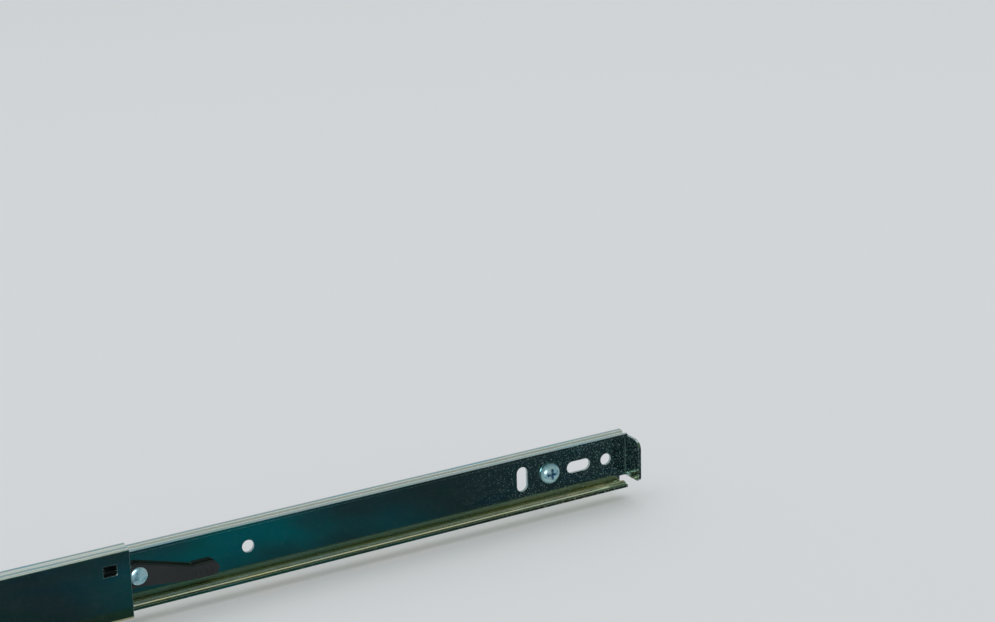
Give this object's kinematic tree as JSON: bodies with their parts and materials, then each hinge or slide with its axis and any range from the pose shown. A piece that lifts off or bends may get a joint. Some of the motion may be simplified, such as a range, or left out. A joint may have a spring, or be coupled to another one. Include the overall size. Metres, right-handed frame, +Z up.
{
  "type": "cabinet drawer slide",
  "caption": "Full-extension ball-bearing drawer slide with nested steel rails, ball cages, a folded front tab and a release lever.",
  "frame": {"origin": "on the cabinet wall plane, at the front edge of the cabinet rail and at its middle height", "axes": "+X out of the cabinet, +Y from the cabinet wall to the drawer side, +Z up; stored pulled fully out"},
  "size_m": [0.9015, 0.0275, 0.0364],
  "materials": {
    "zinc_rail": "bright zinc plating",
    "zinc_hardware": "bright zinc plating",
    "cage_steel": "plain strip",
    "cage_plastic": "moulded",
    "ball_steel": "polished",
    "black_plastic": "moulded"
  },
  "bodies": {
    "cabinet_rail": {"cabinet_member": "zinc_rail", "cabinet_rear_bumper": "black_plastic"},
    "outer_cage_body": {"outer_cage_top": "cage_plastic", "outer_cage_bottom": "cage_plastic", "outer_balls_top": "ball_steel", "outer_balls_bottom": "ball_steel"},
    "middle_rail": {"middle_member": "zinc_rail", "middle_rear_bumper": "black_plastic"},
    "inner_cage_body": {"inner_cage": "cage_steel", "inner_balls_top": "ball_steel", "inner_balls_bottom": "ball_steel"},
    "drawer_rail": {"drawer_member": "zinc_rail", "drawer_screw": "zinc_hardware", "lever_rivet": "zinc_hardware"},
    "lever": {"release_lever": "black_plastic"}
  },
  "joints": [
    {"name": "middle_slide", "type": "slide", "parent": "cabinet_rail", "child": "middle_rail", "axis": [1, 0, 0], "range_m": [-0.22, 0]},
    {"name": "outer_cage_slide", "type": "slide", "parent": "cabinet_rail", "child": "outer_cage_body", "axis": [1, 0, 0], "range_m": [-0.11, 0]},
    {"name": "drawer_slide", "type": "slide", "parent": "middle_rail", "child": "drawer_rail", "axis": [1, 0, 0], "range_m": [-0.23, 0]},
    {"name": "inner_cage_slide", "type": "slide", "parent": "middle_rail", "child": "inner_cage_body", "axis": [1, 0, 0], "range_m": [-0.115, 0]},
    {"name": "lever_hinge", "type": "hinge", "parent": "drawer_rail", "child": "lever", "pos_m": [0.222, 0.01, 0], "axis": [0, -1, 0], "range_deg": [0, 11], "stiffness_Nm_per_rad": 0.05, "springref_deg": -2.86}
  ],
  "couplings": [
    {"joint": "outer_cage_slide", "follows": "middle_slide", "ratio": 0.5},
    {"joint": "inner_cage_slide", "follows": "drawer_slide", "ratio": 0.5}
  ]
}
